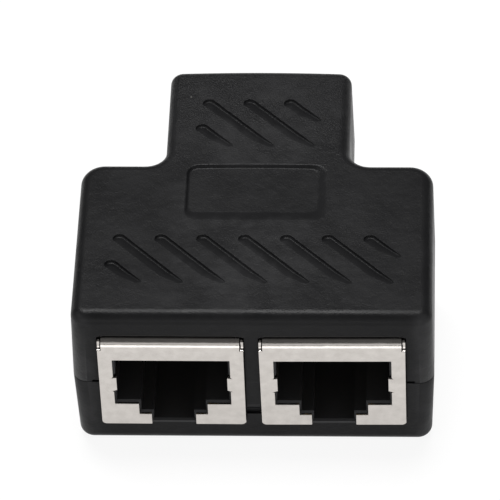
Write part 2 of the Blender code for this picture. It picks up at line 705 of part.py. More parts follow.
def build_contact_mesh(name, row, finish):
    """Wire of flat section: tail, run over the cavity, turn and free spring."""
    run, turn = CONTACT_RUN, CONTACT_TURN
    path = [(row, TAIL_END)]
    path += arc_points(row - CONTACT_BEND, run - CONTACT_BEND, CONTACT_BEND, 0.0, math.pi / 2,
                       SMALL_ARC_STEPS)
    last = 1.5 * math.pi - CONTACT_SLOPE
    path += arc_points(CONTACT_FRONT, run - turn, turn, math.pi / 2, last, TURN_STEPS)
    y, z = path[-1]
    path.append((y + CONTACT_SPRING * math.cos(CONTACT_SLOPE),
                 z - CONTACT_SPRING * math.sin(CONTACT_SLOPE)))
    rings = []
    w, t = CONTACT_WIDTH / 2, CONTACT_THICKNESS / 2
    for i, point in enumerate(path):
        here = Vector(point)
        back = (here - Vector(path[i - 1])).normalized() if i else None
        ahead = (Vector(path[i + 1]) - here).normalized() if i + 1 < len(path) else None
        along = ((back or ahead) + (ahead or back)).normalized()
        stretch = 1.0 if back is None else 1.0 / max(along.dot(back), TIGHTEST_MITRE)
        side = Vector((-along.y, along.x)) * t * stretch
        rings.append([(x, here.x + s * side.x, here.y + s * side.y)
                      for x, s in ((-w, -1), (w, -1), (w, 1), (-w, 1))])
    mesh = loft(name, rings)
    mesh.materials.append(finish)
    mesh.shade_smooth()
    mesh.set_sharp_from_angle(angle=WIRE_SHARP_ANGLE)
    return mesh


def build_sockets(shield_finish, insert_finish, contact_finish):
    """Three equal sockets, each under an empty at its front plate."""
    shield = build_shield_mesh(shield_finish)
    insert = build_insert_mesh(insert_finish)
    near = build_contact_mesh("contact_near_row", ROW_NEAR, contact_finish)
    far = build_contact_mesh("contact_far_row", ROW_FAR, contact_finish)
    for name, x, y, turn in JACKS:
        holder = bpy.data.objects.new(name + "_socket", None)
        bpy.context.scene.collection.objects.link(holder)
        holder.location = (x, y, JACK_BASE)
        holder.rotation_euler = (0.0, 0.0, turn)
        pieces = [new_object(name + "_shield", shield), new_object(name + "_insert", insert)]
        for i, (across, row) in enumerate(contact_places()):
            mesh = near if row == ROW_NEAR else far
            contact = new_object(f"{name}_contact_{i + 1}", mesh)
            contact.location.x = across
            pieces.append(contact)
        for piece in pieces:
            piece.parent = holder


def build_board(finish):
    """Wiring board, drilled and slotted for every tail and peg above it."""
    inset = WALL + BOARD_EDGE_ROOM + lower_inset(BOARD_UNDERSIDE)
    low, high = BOARD_UNDERSIDE, BOARD_UNDERSIDE + BOARD
    board = new_object("circuit_board", loft("circuit_board", [ring(inset, low), ring(inset, high)]),
                       finish)
    bottom, top = low - OVERCUT, high + OVERCUT
    pin_hole = math.hypot(CONTACT_WIDTH, CONTACT_THICKNESS) / 2 + HOLE_ROOM
    for name, x, y, turn in JACKS:
        holes = [cylinder("hole", across, row, bottom, top, pin_hole, HOLE_SIDES)
                 for across, row in contact_places()]
        holes += [cylinder("hole", side * PEG_SPREAD / 2, PEG_PLACE, bottom, top,
                           PEG_RADIUS + HOLE_ROOM, PEG_SIDES) for side in (-1, 1)]
        for side in (-1, 1):
            outer = side * (JACK_WIDTH / 2 + HOLE_ROOM)
            inner = side * (JACK_WIDTH / 2 - SHEET - HOLE_ROOM)
            xs = sorted((outer, inner))
            reach = TAIL_WIDTH / 2 + HOLE_ROOM
            holes.append(box("slot", (xs[0], TAIL_PLACE - reach, bottom),
                             (xs[1], TAIL_PLACE + reach, top)))
        tool = merged("holes", holes)
        tool.transform(Matrix.Translation((x, y, 0.0)) @ Matrix.Rotation(turn, 4, "Z"))
        cut(board, tool)
    notch = PIN_RADIUS + GAP + PIN_WALL + GAP
    notches = []
    for x, y in pin_places():
        plan = arc_points(x, y, notch, math.pi, math.tau, NOTCH_STEPS)
        plan += [(x + notch, BLOCK_BACK), (x - notch, BLOCK_BACK)]
        notches.append(loft("notch", [[(px, py, z) for px, py in plan] for z in (bottom, top)]))
    cut(board, merged("notches", notches))
    finish_mesh(board.data)


def build():
    clear_scene()
    housing = housing_plastic()
    build_lower_shell(housing)
    build_board(board_laminate())
    build_sockets(shield_plating(), insert_plastic(), contact_plating())
    build_upper_shell(housing)


build()
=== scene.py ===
"""Looks of the network splitter block: moulded shells, folded shields, finishes, floor, lamps, camera.

Lengths are metres and +Z is up. The pair of sockets faces -Y and the single one +Y.
"""

import json
import math

import bmesh
import bpy
from mathutils import Matrix, Vector


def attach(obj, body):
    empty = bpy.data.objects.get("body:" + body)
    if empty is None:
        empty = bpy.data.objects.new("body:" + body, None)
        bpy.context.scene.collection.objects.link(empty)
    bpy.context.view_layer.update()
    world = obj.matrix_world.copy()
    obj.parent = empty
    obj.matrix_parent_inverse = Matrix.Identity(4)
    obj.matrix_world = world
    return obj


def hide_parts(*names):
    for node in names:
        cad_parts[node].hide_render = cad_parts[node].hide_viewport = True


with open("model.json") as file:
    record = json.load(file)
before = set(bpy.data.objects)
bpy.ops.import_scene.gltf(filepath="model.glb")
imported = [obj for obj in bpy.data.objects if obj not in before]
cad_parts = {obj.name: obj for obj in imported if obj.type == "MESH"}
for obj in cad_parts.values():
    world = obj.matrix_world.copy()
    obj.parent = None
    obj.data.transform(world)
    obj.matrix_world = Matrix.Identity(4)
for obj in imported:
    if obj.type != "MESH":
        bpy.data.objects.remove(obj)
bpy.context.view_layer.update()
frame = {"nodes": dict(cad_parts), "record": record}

MM = 0.001

# How finely shapes are made
HAIR = 0.01 * MM                # what tells two planes or places apart
WELD = 0.001 * MM               # points of a new body closer than this are merged
SAME_PLACE = 0.0001 * MM        # ends of an edge of a finished piece closer than this are one
ARC_STEPS = 8
CORNER_STEPS = 12
FILLET_STEPS = 10
SIDE_BEND_STEPS = 6
FINE_STEPS = 2

# Housing
HOUSING_HEIGHT = 20.6 * MM
HALF_BLOCK = 19.95 * MM
HALF_NECK = 10.57 * MM
HALF_DEPTH = 19.45 * MM
BLOCK_BACK = 4.5 * MM
PARTING = 10.2 * MM
WALL = 1.5 * MM
FLOOR = 1.2 * MM
ROOF = 1.5 * MM
INNER_FILLET = 0.8 * MM
TIGHT_CORNER = 0.3 * MM
BROAD_FACE = 0.45 * MM          # least mean width of a face that is shaded flat
HOUSING_SHADING = 32.0          # greatest angle, in degrees, that is shaded smooth
SOCKET_SHADING = 35.0
SHARP = 1.0                     # least angle of a rim that gets a fillet, in radians
LEVEL = 0.99999                 # least upright share of the normal of a level face
UPPER_SLOPE = math.tan(math.radians(1.3))
LOWER_SLOPE = math.tan(math.radians(1.4))
TOP_FILLET = 1.25 * MM
BOTTOM_FILLET = 1.3 * MM
FRONT_CORNER = 1.6 * MM
BLOCK_CORNER = 2.6 * MM
NECK_CORNER = 1.4 * MM
NECK_FILLET = 2.3 * MM
NECK_END = 19.28 * MM           # where its rounded end starts to bow outwards
NECK_BOW = 0.2 * MM
SEAM = 0.07 * MM                # what shows between the two halves
SEAM_EDGE = 0.05 * MM
POST_LOW = 5.5 * MM
STUB_TOP = 4.8 * MM
POST_HALF = 1.2 * MM

# Sockets
JACK_WIDTH = 16.0 * MM
JACK_HEIGHT = 13.45 * MM
JACK_DEPTH = 18.0 * MM
JACK_OFFSET = 8.9 * MM
JACK_SHIFT = 0.05 * MM          # how far to the left both front sockets sit
LEFT_LEAN = 0.1                 # in degrees, clockwise from the front where it is positive
RIGHT_LEAN = -0.4
JACK_BASE = 3.8 * MM
PLATE_Y = 20.0 * MM
SHEET = 0.25 * MM
FRONT_BEND = 1.25 * MM
SIDE_BEND = 0.4 * MM
SHEET_EDGE = 0.05 * MM          # rolled edge of the punched openings
PLATE_CORNER = 0.5 * MM
STRIP_WIDTH = 0.28 * MM         # side panels' front edges beside the bend
STRIP_SETBACK = 0.45 * MM
STRIP_DROP = 0.15 * MM          # between the top panel and their upper ends
SLIT_WIDTH = 0.13 * MM
SLIT_LENGTH = 1.3 * MM
CAVITY_WIDTH = 12.1 * MM
CAVITY_TOP = 10.57 * MM
CAVITY_FLOOR = 3.7 * MM
CAVITY_DEPTH = 13.0 * MM
KEY_WIDTH = 6.8 * MM
KEY_FLOOR = 2.0 * MM
LATCH_WIDTH = 4.1 * MM
LATCH_FLOOR = 0.45 * MM
LATCH_LIP = 0.3 * MM
LEAD_IN = 0.45 * MM
INSERT_LEAD = 0.26 * MM         # bevel round the insert's mouth
SPRING_WIDTH = 2.0 * MM
SPRING_LENGTH = 5.2 * MM
SPRING_TIP = 1.0 * MM
SPRING_HEIGHT = 6.5 * MM
SPRING_REACH = 0.35 * MM
SPRING_PLAY = 0.03 * MM         # between a finger and the edges that it is cut from
SPRING_EDGE = 0.08 * MM         # rounding of its flared tip
HOOK_UNDER = ((0.0, -0.22 * MM), (0.3 * MM, -0.1 * MM))     # hooked notch that the punch leaves
HOOK_OVER = ((0.25 * MM, 0.0), (0.0, 0.3 * MM))             # under and over each finger
LOW_CORNER_RISE = 0.14 * MM     # how far up the finger's inner corners are shifted
HIGH_CORNER_RISE = 0.1 * MM
TAIL_WIDTH = 1.6 * MM
TAIL_PLACE = 6.3 * MM
TAIL_END = -1.9 * MM
OPENING_SNUG = 0.04 * MM        # room on a socket's left, where it lies against the wall
OPENING_SLACK = 0.07 * MM       # room on its right
OPENING_OVER = 0.08 * MM
OPENING_CORNER = 0.6 * MM
OPENING_EDGE = 0.06 * MM
OPENING_DIP = 0.35 * MM         # sunk, rounded edge over a socket
OPENING_RISE = 0.75 * MM
POST_DIP = 0.5 * MM             # rounded lower end of the post between the front sockets
POST_RISE = 1.3 * MM
TONGUE_SETBACK = 0.45 * MM      # lower half's tongue, which closes the gap under that post
NOTCH_LENGTH = 0.9 * MM         # widening of the seam beside the front sockets
NOTCH_RISE = 0.28 * MM
INSERT_WIDTH = 14.9 * MM
INSERT_FRONT = 0.26 * MM        # just behind the plate
INSERT_BACK = 17.45 * MM
INSERT_TOP = 12.9 * MM
CLEARANCE = 0.3 * MM
PEG_RADIUS = 1.5 * MM
PEG_SPREAD = 11.4 * MM
PEG_PLACE = 9.6 * MM
PEG_LENGTH = 1.2 * MM
CONTACTS = 8
CONTACT_PITCH = 1.02 * MM
SLOT_WIDTH = 0.7 * MM
COMB_FRONT = 2.1 * MM           # window that the contact wires spring through
COMB_BACK = 10.6 * MM
WIRE_CHANNEL = 11.9 * MM        # height of the channels that hold the wires
WIRE_ROWS = (14.75 * MM, 16.35 * MM)

# Relief of the roof
GROOVE_PITCH = 4.62 * MM
GROOVE_WIDTH = 1.52 * MM
GROOVE_DEPTH = 0.32 * MM
GROOVE_SHORTEST = 2.0 * MM
GROOVE_LIP = 0.04 * MM          # rounding of a groove's upper edge
GROOVE_HOLLOW = 1.35            # 1 is a flat ramp; more is deeper near the wall
GROOVE_FOOT = 0.22 * MM         # hollow rounding at the foot of its wall
GROOVE_LEAN = 0.04 * MM         # how far its wall leans back
GROOVE_TAPER = 3.0              # length of its shallowing lower end, in half widths
GROOVE_NARROWING = 0.3          # how fast its floor's edge comes in along that end
LABEL_WIDTH = 15.7 * MM
LABEL_DEPTH = 8.3 * MM
LABEL_EDGE = 14.95 * MM
LABEL_CORNER = 1.4 * MM
LABEL_RECESS = 0.35 * MM
LABEL_LIP = 0.25 * MM
LABEL_LEAN = 58.0               # steepest part of its rim, in degrees
LABEL_SLOPE = 0.3 * MM
LABEL_RIGHT = 2.5               # times that slope on its right
LABEL_NEAR = 1.7                # times that slope on its near side
LABEL_BOW = 0.15 * MM
LABEL_FOOT = 0.3 * MM
FRONT_FIELD_WIDTH = 31.2 * MM
FRONT_FIELD_NEAR = 5.2 * MM
FRONT_FIELD_FAR = 11.85 * MM
NECK_FIELD_WIDTH = 12.8 * MM
NECK_FIELD_NEAR = 5.95 * MM
NECK_FIELD_FAR = 12.85 * MM

# Camera of the photograph
LENS = 310.1                    # focal length for a frame 36 mm wide
VIEW_ANGLES = (3.741, 47.0, -2.521)     # azimuth, elevation and roll, in degrees
VIEW_CENTRE = Vector((-0.723, -4.0, 15.032)) * MM
VIEW_DISTANCE = 481.758         # in mm

# Soft boxes: name, azimuth and elevation in degrees, distance, width and height, radiance
LAMPS = (
    ("low_box", 0.0, 8.0, 0.16, 0.3, 0.05, 2.1),
    ("high_box", 0.0, 31.0, 0.16, 0.3, 0.05, 0.7),
    ("left_box", -65.0, 35.0, 0.5, 0.3, 0.2, 2.3),
    ("right_box", 65.0, 35.0, 0.5, 0.3, 0.2, 2.3),
    ("top_box", 180.0, 76.5, 0.9, 0.34, 0.32, 21.5),
    ("backdrop", 180.0, 36.0, 0.25, 0.5, 0.15, 0.3),
    ("groove_box", -140.0, 63.0, 0.6, 0.14, 0.14, 15.0),
)


def socket_place(x, y, turn, lean):
    """Puts a socket's front plate, made with its lower middle at the origin, in its window."""
    return (Matrix.Translation((x, y, JACK_BASE)) @ Matrix.Rotation(turn, 4, "Z")
            @ Matrix.Rotation(math.radians(lean), 4, "Y"))


# The front sockets sit a little askew in their windows, as in the photograph
SOCKETS = {
    "left": socket_place(-JACK_OFFSET - JACK_SHIFT, -PLATE_Y, 0.0, LEFT_LEAN),
    "right": socket_place(JACK_OFFSET - JACK_SHIFT, -PLATE_Y, 0.0, RIGHT_LEAN),
    "rear": socket_place(0.0, PLATE_Y, math.pi, 0.0),
}


# Shaping

def finished(bm, name):
    """Mesh of a closed body, with its faces turned outwards."""
    bmesh.ops.remove_doubles(bm, verts=bm.verts, dist=WELD)
    bmesh.ops.recalc_face_normals(bm, faces=bm.faces)
    mesh = bpy.data.meshes.new(name)
    bm.to_mesh(mesh)
    bm.free()
    return mesh


def placed(name, mesh):
    """Object at the origin that shows a mesh."""
    piece = bpy.data.objects.new(name, mesh)
    bpy.context.scene.collection.objects.link(piece)
    return piece


def joined(name, meshes):
    """One mesh that holds several bodies clear of each other."""
    bm = bmesh.new()
    for mesh in meshes:
        bm.from_mesh(mesh)
    return finished(bm, name)


def boolean(body, tool_mesh, operation):
    """Cuts a closed mesh out of a body, adds it, or keeps what both share."""
    tool = placed("tool", tool_mesh)
    step = body.modifiers.new("step", "BOOLEAN")
    step.operation = operation
    step.solver = "EXACT"
    step.object = tool
    evaluated = body.evaluated_get(bpy.context.evaluated_depsgraph_get())
    result = bpy.data.meshes.new_from_object(evaluated)
    body.modifiers.remove(step)
    body.data = result
    bpy.data.objects.remove(tool, do_unlink=True)


def polygon(bm, points):
    """Flat face over an outline."""
    return bm.faces.new([bm.verts.new(point) for point in points])


def drawn_out(bm, face, way):
    """Extrudes a face into a body; gives the points of the new face."""
    made = bmesh.ops.extrude_face_region(bm, geom=[face] + face.edges[:] + face.verts[:])
    moved = [v for v in made["geom"] if isinstance(v, bmesh.types.BMVert)]
    bmesh.ops.translate(bm, verts=moved, vec=way)
    return moved


def block(low, high):
    """Plain block between two corners, for a cut or the start of a shape."""
    bm = bmesh.new()
    low, high = Vector(low), Vector(high)
    bmesh.ops.create_cube(bm, size=1.0, matrix=Matrix.LocRotScale((low + high) / 2, None,
                                                                  high - low))
    return bm


def prism(points, way):
    """Body drawn out from a flat outline."""
    bm = bmesh.new()
    drawn_out(bm, polygon(bm, points), way)
    return finished(bm, "prism")


def round_edges(bm, edges, radius, steps):
    """Rounds edges off to a radius."""
    bmesh.ops.bevel(bm, geom=edges, offset=radius, offset_type="OFFSET", segments=steps,
                    profile=0.5, affect="EDGES", material=-1, clamp_overlap=True)


# Housing

def slope_inset(z):
    """How far the housing's sloping wall stands in at a height."""
    return (z - PARTING) * UPPER_SLOPE if z > PARTING else (PARTING - z) * LOWER_SLOPE


def shifted(verts, inset):
    """Moves the walls of a T-shaped plan inwards."""
    for v in verts:
        v.co.x -= math.copysign(inset, v.co.x)
        v.co.y -= math.copysign(inset, v.co.y)


def upright_edges(bm, x, y):
    """Upright edges near one corner of the plan, on both sides of the middle."""
    found = []
    for edge in bm.edges:
        a, b = (v.co for v in edge.verts)
        middle = (a + b) / 2
        if abs(a.z - b.z) > MM and abs(abs(middle.x) - x) < MM and abs(middle.y - y) < MM:
            found.append(edge)
    return found


def t_block(low, high, inset, fillet, rim_edge):
    """T-shaped block with sloping walls; the fillet is on the end away from the parting."""
    bm = bmesh.new()
    a, n, h, b, e = HALF_BLOCK, HALF_NECK, HALF_DEPTH, BLOCK_BACK, NECK_END
    plan = [(-a, -h), (a, -h), (a, b), (n, b), (n, e), (-n, e), (-n, b), (-a, b)]
    base = polygon(bm, [(x, y, low) for x, y in plan])
    bottom = list(base.verts)
    top = drawn_out(bm, base, (0.0, 0.0, high - low))
    shifted(bottom, inset + slope_inset(low))
    shifted(top, inset + slope_inset(high))
    bmesh.ops.recalc_face_normals(bm, faces=bm.faces)
    ends = [line for line in bm.edges if all(v.co.y > e - 2 * inset - MM for v in line.verts)
            and abs(line.verts[0].co.z - line.verts[1].co.z) < HAIR]
    bmesh.ops.subdivide_edges(bm, edges=ends, cuts=9, use_grid_fill=True)
    for x, y, radius in ((a, -h, FRONT_CORNER), (a, b, BLOCK_CORNER), (n, e, NECK_CORNER),
                         (n, b, NECK_FILLET)):
        hollow = (x, y) == (n, b)
        fitted = radius + inset if hollow else max(radius - inset, TIGHT_CORNER)
        round_edges(bm, upright_edges(bm, x - inset, y - math.copysign(inset, y)), fitted,
                    CORNER_STEPS)
    span = n - NECK_CORNER
    for v in bm.verts:
        if v.co.y > e - inset - MM and abs(v.co.x) < span:
            v.co.y += NECK_BOW * (1 - (v.co.x / span) ** 2)
    upper = high > PARTING + WALL
    outer, seam = (high, low) if upper else (low, high)
    for z, radius, steps in ((outer, fillet, FILLET_STEPS), (seam, rim_edge, FINE_STEPS)):
        if radius:
            rim = [line for line in bm.edges if line.calc_face_angle(0.0) > SHARP
                   and all(abs(v.co.z - z) < HAIR for v in line.verts)]
            round_edges(bm, rim, radius, steps)
    return finished(bm, "t_block")


def rounded_field(outline, rounding):
    """Flat face over an outline; rounding is pairs of corner radius and test for its corners."""
    bm = bmesh.new()
    polygon(bm, [(x, y, 0.0) for x, y in outline])
    for radius, wanted in rounding:
        corners = [v for v in bm.verts if wanted(v.co)]
        bmesh.ops.bevel(bm, geom=corners, offset=radius, segments=FILLET_STEPS, profile=0.5,
                        affect="VERTICES", material=-1)
    return bm


def sink(bm, steps):
    """Makes a flat face a cutting body: a lid above it, and steps of inward and downward
    distance below it."""
    drawn_out(bm, bm.faces[:][0], (0.0, 0.0, MM))
    bmesh.ops.recalc_face_normals(bm, faces=bm.faces)
    face = min(bm.faces, key=lambda f: f.calc_center_median().z)
    for inwards, downwards in steps:
        bmesh.ops.inset_region(bm, faces=[face], thickness=inwards, depth=downwards,
                               use_even_offset=True, use_boundary=True)


def lip(radius, steps=4, steepest=90.0):
    """Steps round the upper edge of a recess, from level to its steepest part."""
    turns = [math.radians(steepest) * k / steps for k in range(steps + 1)]
    return [(radius * (math.sin(b) - math.sin(a)), radius * (math.cos(a) - math.cos(b)))
            for a, b in zip(turns, turns[1:])]


def foot(radius, steps=4, steepest=90.0):
    """Steps round the foot of a recess's wall, from its steepest part to level."""
    return lip(radius, steps, steepest)[::-1]


def eased_edge(low, high, dip, rise, y, z):
    """Cut along X that rounds off a lower front edge at y, z, fading out at both ends."""
    clear, beyond = 0.03 * MM, -0.2 * MM
    tip = 0.1                   # size of its section at both ends, next to its middle
    turns = [math.pi / 2 * k / ARC_STEPS for k in range(ARC_STEPS + 1)]
    curve = [(dip * (1 - math.cos(a)) - clear, rise * (1 - math.sin(a)) - clear) for a in turns]
    curve += [(dip - clear, beyond), (beyond, beyond), (beyond, rise - clear)]
    bm = bmesh.new()
    face = polygon(bm, [(low, y + tip * a, z + tip * b) for a, b in curve])
    for x, share in ((low + rise, 1 / tip), (high - rise, 1.0), (high, tip)):
        old = face.calc_center_median().x
        moved = drawn_out(bm, face, (x - old, 0.0, 0.0))
        bmesh.ops.scale(bm, verts=moved, vec=(1.0, share, share),
                        space=Matrix.Translation((0.0, -y, -z)))
        face = max(bm.faces, key=lambda f: f.calc_center_median().x)
    return finished(bm, "eased_edge")


def socket_opening(place):
    """Window round one socket, with eased sides and a snug foot."""
    edge = OPENING_EDGE
    left, right = -JACK_WIDTH / 2 - OPENING_SNUG - edge, JACK_WIDTH / 2 + OPENING_SLACK + edge
    low, high = -OPENING_SNUG - edge, JACK_HEIGHT + OPENING_OVER + edge
    bm = rounded_field([(left, low), (right, low), (right, high), (left, high)],
                       [(OPENING_CORNER + edge, lambda co: co.y < low + HAIR),
                        (2 * edge, lambda co: co.y > high - HAIR)])
    sink(bm, [(0.0, HAIR)] + lip(edge) + [(0.0, WALL + MM)])
    front = PLATE_Y - HALF_DEPTH
    for v in bm.verts:
        z = max(v.co.y, -HAIR)
        v.co = (v.co.x, front - v.co.z - HAIR + slope_inset(z + JACK_BASE), z)
    bm.transform(place)
    return finished(bm, "socket_opening")


def opening_brow(place):
    """Sunk, rounded edge over one socket."""
    top = JACK_HEIGHT + OPENING_OVER
    mesh = eased_edge(-JACK_WIDTH / 2 - OPENING_SNUG, JACK_WIDTH / 2 + OPENING_SLACK, OPENING_DIP,
                      OPENING_RISE, PLATE_Y - HALF_DEPTH + slope_inset(JACK_BASE + top), top)
    mesh.transform(place)
    return mesh


def groove(x0, y0, x1, y1):
    """Slanting grip groove: steep at the back and at its upper end, with a floor that rises to
    the front and runs out at its lower end."""
    half = GROOVE_WIDTH / 2
    grown = half + GROOVE_LIP
    length = math.hypot(x1 - x0, y1 - y0)
    rest, rings = half - GROOVE_FOOT - GROOVE_LEAN, 4
    steps = [(0.0, HAIR)] + lip(GROOVE_LIP)
    steps += [(GROOVE_LEAN, GROOVE_DEPTH - GROOVE_LIP - GROOVE_FOOT)] + foot(GROOVE_FOOT)
    steps += [(rest / rings, 0.0)] * (rings - 1)
    bm = bmesh.new()
    sides = 28
    bmesh.ops.create_circle(bm, cap_ends=True, radius=grown, segments=sides,
                            matrix=Matrix.Rotation(math.pi / sides, 4, "Z"))
    bmesh.ops.translate(bm, verts=[v for v in bm.verts if v.co.x > 0.0], vec=(length, 0.0, 0.0))
    sink(bm, steps)
    taper, cuts, nudge = min(GROOVE_TAPER * half, length), 6, 0.001
    for k in range(cuts + 1):
        bmesh.ops.bisect_plane(bm, geom=bm.verts[:] + bm.edges[:] + bm.faces[:],
                               plane_co=(length - taper * (k / cuts - nudge), 0.0, 0.0),
                               plane_no=(1.0, 0.0, 0.0))
    spare = 2 * HAIR
    for v in bm.verts:
        if v.co.z <= 0.0:
            past = min(v.co.x, 0.0) + GROOVE_NARROWING * max(v.co.x - length + taper, 0.0)
            past += max(v.co.x - length, 0.0)
            share = (v.co.y - past + half) / (2 * half - GROOVE_FOOT)
            v.co.z = spare - (spare - v.co.z) * min(max(share, 0.0), 1.0) ** GROOVE_HOLLOW
    angle = math.atan2(y1 - y0, x1 - x0)
    bm.transform(Matrix.Translation((x0, y0, HOUSING_HEIGHT + HAIR))
                 @ Matrix.Rotation(angle, 4, "Z"))
    return finished(bm, "groove")


def groove_field(width, low, high):
    """Grooves at one pitch and 45 degrees, clipped to a field of the roof."""
    cutters = []
    count = int((width + high - low) / GROOVE_PITCH) + 2
    for k in range(-count, count + 1):
        total = (high + low) / 2 + (k + 0.5) * GROOVE_PITCH
        x0 = max(-width / 2, total - high)
        x1 = min(width / 2, total - low)
        if (x1 - x0) * math.sqrt(2) > GROOVE_SHORTEST:
            cutters.append(groove(x0, total - x0, x1, total - x1))
    return cutters


def label_recess():
    """Shallow field for a label: steep at the back, sloping on the other sides."""
    cuts, turns = 10, 5
    w, d = LABEL_WIDTH / 2 + LABEL_LIP / 2, LABEL_DEPTH / 2 + LABEL_LIP / 2
    outline = [(-w, -d), (w, -d), (w, d)]
    outline += [(w * (1 - 2 * k / cuts), d + LABEL_BOW * (1 - (1 - 2 * k / cuts) ** 2))
                for k in range(1, cuts)]
    outline += [(-w, d)]
    rims = lip(LABEL_LIP, turns, LABEL_LEAN) + foot(LABEL_FOOT, turns, LABEL_LEAN)
    rest = LABEL_RECESS - sum(down for _, down in rims)
    rims.insert(turns, (rest / math.tan(math.radians(LABEL_LEAN)), rest))
    bm = rounded_field(outline, [(LABEL_CORNER, lambda co: abs(abs(co.x) - w) < HAIR)])
    sink(bm, [(0.0, HAIR)] + rims)
    for v in bm.verts:
        if v.co.z < 0.0:
            share = -v.co.z / LABEL_RECESS
            v.co.x -= share * LABEL_RIGHT * LABEL_SLOPE * max(v.co.x, 0.0) / w
            v.co.y += share * LABEL_NEAR * LABEL_SLOPE * (d - v.co.y) / d
    middle = -HALF_DEPTH + LABEL_EDGE + LABEL_DEPTH / 2
    bm.transform(Matrix.Translation((0.0, middle, HOUSING_HEIGHT + HAIR)))
    return finished(bm, "label_recess")


def upper_housing():
    """Roof half of the housing, with its windows, grip grooves and label recess."""
    low = PARTING + SEAM / 2
    body = placed("upper_housing", t_block(low, HOUSING_HEIGHT, 0.0, TOP_FILLET, SEAM_EDGE))
    bm = block((-POST_HALF, -HALF_DEPTH, POST_LOW), (POST_HALF, -HALF_DEPTH + WALL, PARTING + WALL))
    for v in bm.verts:
        if v.co.y < -HALF_DEPTH + WALL / 2:
            v.co.y += slope_inset(v.co.z)
    boolean(body, finished(bm, "post"), "UNION")
    boolean(body, eased_edge(-2 * POST_HALF, 2 * POST_HALF, POST_DIP, POST_RISE,
                             -HALF_DEPTH + slope_inset(POST_LOW), POST_LOW), "DIFFERENCE")
    boolean(body, t_block(low - MM, HOUSING_HEIGHT - ROOF, WALL, INNER_FILLET, 0.0), "DIFFERENCE")
    boolean(body, joined("openings", [socket_opening(place) for place in SOCKETS.values()]),
            "DIFFERENCE")
    boolean(body, joined("brows", [opening_brow(place) for place in SOCKETS.values()]),
            "DIFFERENCE")
    notches = []
    for side in (-1, 1):
        start = JACK_OFFSET + JACK_WIDTH / 2
        ends = sorted((side * (start - MM), side * (start + NOTCH_LENGTH)))
        notches.append(finished(block((ends[0], -HALF_DEPTH - MM, low - MM),
                                      (ends[1], -HALF_DEPTH + MM, low + NOTCH_RISE)), "notch"))
    boolean(body, joined("notches", notches), "DIFFERENCE")
    cutters = groove_field(FRONT_FIELD_WIDTH, -HALF_DEPTH + FRONT_FIELD_NEAR,
                           -HALF_DEPTH + FRONT_FIELD_FAR)
    cutters += groove_field(NECK_FIELD_WIDTH, HALF_DEPTH - NECK_FIELD_FAR,
                            HALF_DEPTH - NECK_FIELD_NEAR)
    boolean(body, joined("relief", cutters + [label_recess()]), "DIFFERENCE")
    return body


def lower_housing():
    """Floor half of the housing."""
    high = PARTING - SEAM / 2
    body = placed("lower_housing", t_block(0.0, high, 0.0, BOTTOM_FILLET, SEAM_EDGE))
    boolean(body, t_block(FLOOR, high + MM, WALL, INNER_FILLET, 0.0), "DIFFERENCE")
    boolean(body, joined("openings", [socket_opening(place) for place in SOCKETS.values()]),
            "DIFFERENCE")
    front, top = -HALF_DEPTH - MM, PARTING + WALL
    tongue = finished(block((-POST_HALF, front, STUB_TOP),
                            (POST_HALF, -HALF_DEPTH + TONGUE_SETBACK, top)), "tongue_front")
    wider, longer, under = 1.1, 1.01, 0.05 * MM     # so that no plane of the two cuts is shared
    room = finished(block((-wider * POST_HALF, longer * front, POST_LOW - under),
                          (wider * POST_HALF, -HALF_DEPTH + WALL + MM, longer * top)), "post_room")
    boolean(body, tongue, "DIFFERENCE")
    boolean(body, room, "DIFFERENCE")
    return body


def edges_at(bm, *tests):
    """Edges whose two ends pass every test."""
    return [e for e in bm.edges if all(test(v.co) for v in e.verts for test in tests)]


def folded_box(shrink, low):
    """Outside of the folded shield, or its inside when shrunk by the sheet."""
    half, top, back = JACK_WIDTH / 2 - shrink, JACK_HEIGHT - shrink, JACK_DEPTH - shrink
    bm = block((-half, shrink, low), (half, back, top))
    for side in (-1, 1):
        round_edges(bm, edges_at(bm, lambda co: co.z > top - HAIR,
                                 lambda co: co.x * side > half - HAIR),
                    SIDE_BEND - shrink, SIDE_BEND_STEPS)
    body = placed("box", finished(bm, "box"))
    bm = block((-half - MM, shrink, low), (half + MM, back, top))
    round_edges(bm, edges_at(bm, lambda co: co.z > top - HAIR, lambda co: co.y < shrink + HAIR),
                FRONT_BEND - shrink, CORNER_STEPS)
    boolean(body, finished(bm, "side_view"), "INTERSECT")
    mesh = body.data
    bpy.data.objects.remove(body, do_unlink=True)
    return mesh


def mouth_outline():
    """Plate's opening: steps for the plug's key and latch, with the side fingers standing in."""
    m, k, c = (w / 2 + LEAD_IN for w in (CAVITY_WIDTH, KEY_WIDTH, LATCH_WIDTH))
    low, high = SPRING_HEIGHT - SPRING_WIDTH / 2, SPRING_HEIGHT + SPRING_WIDTH / 2
    inner = m - SPRING_REACH
    right = [(c, -MM), (c, KEY_FLOOR - LEAD_IN), (k, KEY_FLOOR - LEAD_IN),
             (k, CAVITY_FLOOR - LEAD_IN), (m, CAVITY_FLOOR - LEAD_IN)]
    right += [(m + out, low + rise) for out, rise in HOOK_UNDER]
    right += [(inner, low + LOW_CORNER_RISE), (inner, high + HIGH_CORNER_RISE)]
    right += [(m + out, high + rise) for out, rise in HOOK_OVER] + [(m, CAVITY_TOP)]
    return right + [(-x, z) for x, z in reversed(right)]


def facing_front(bm):
    """Turns a cutter made over the ground so that it cuts from the front, along +Y."""
    for v in bm.verts:
        v.co = (v.co.x, -v.co.z, v.co.y)


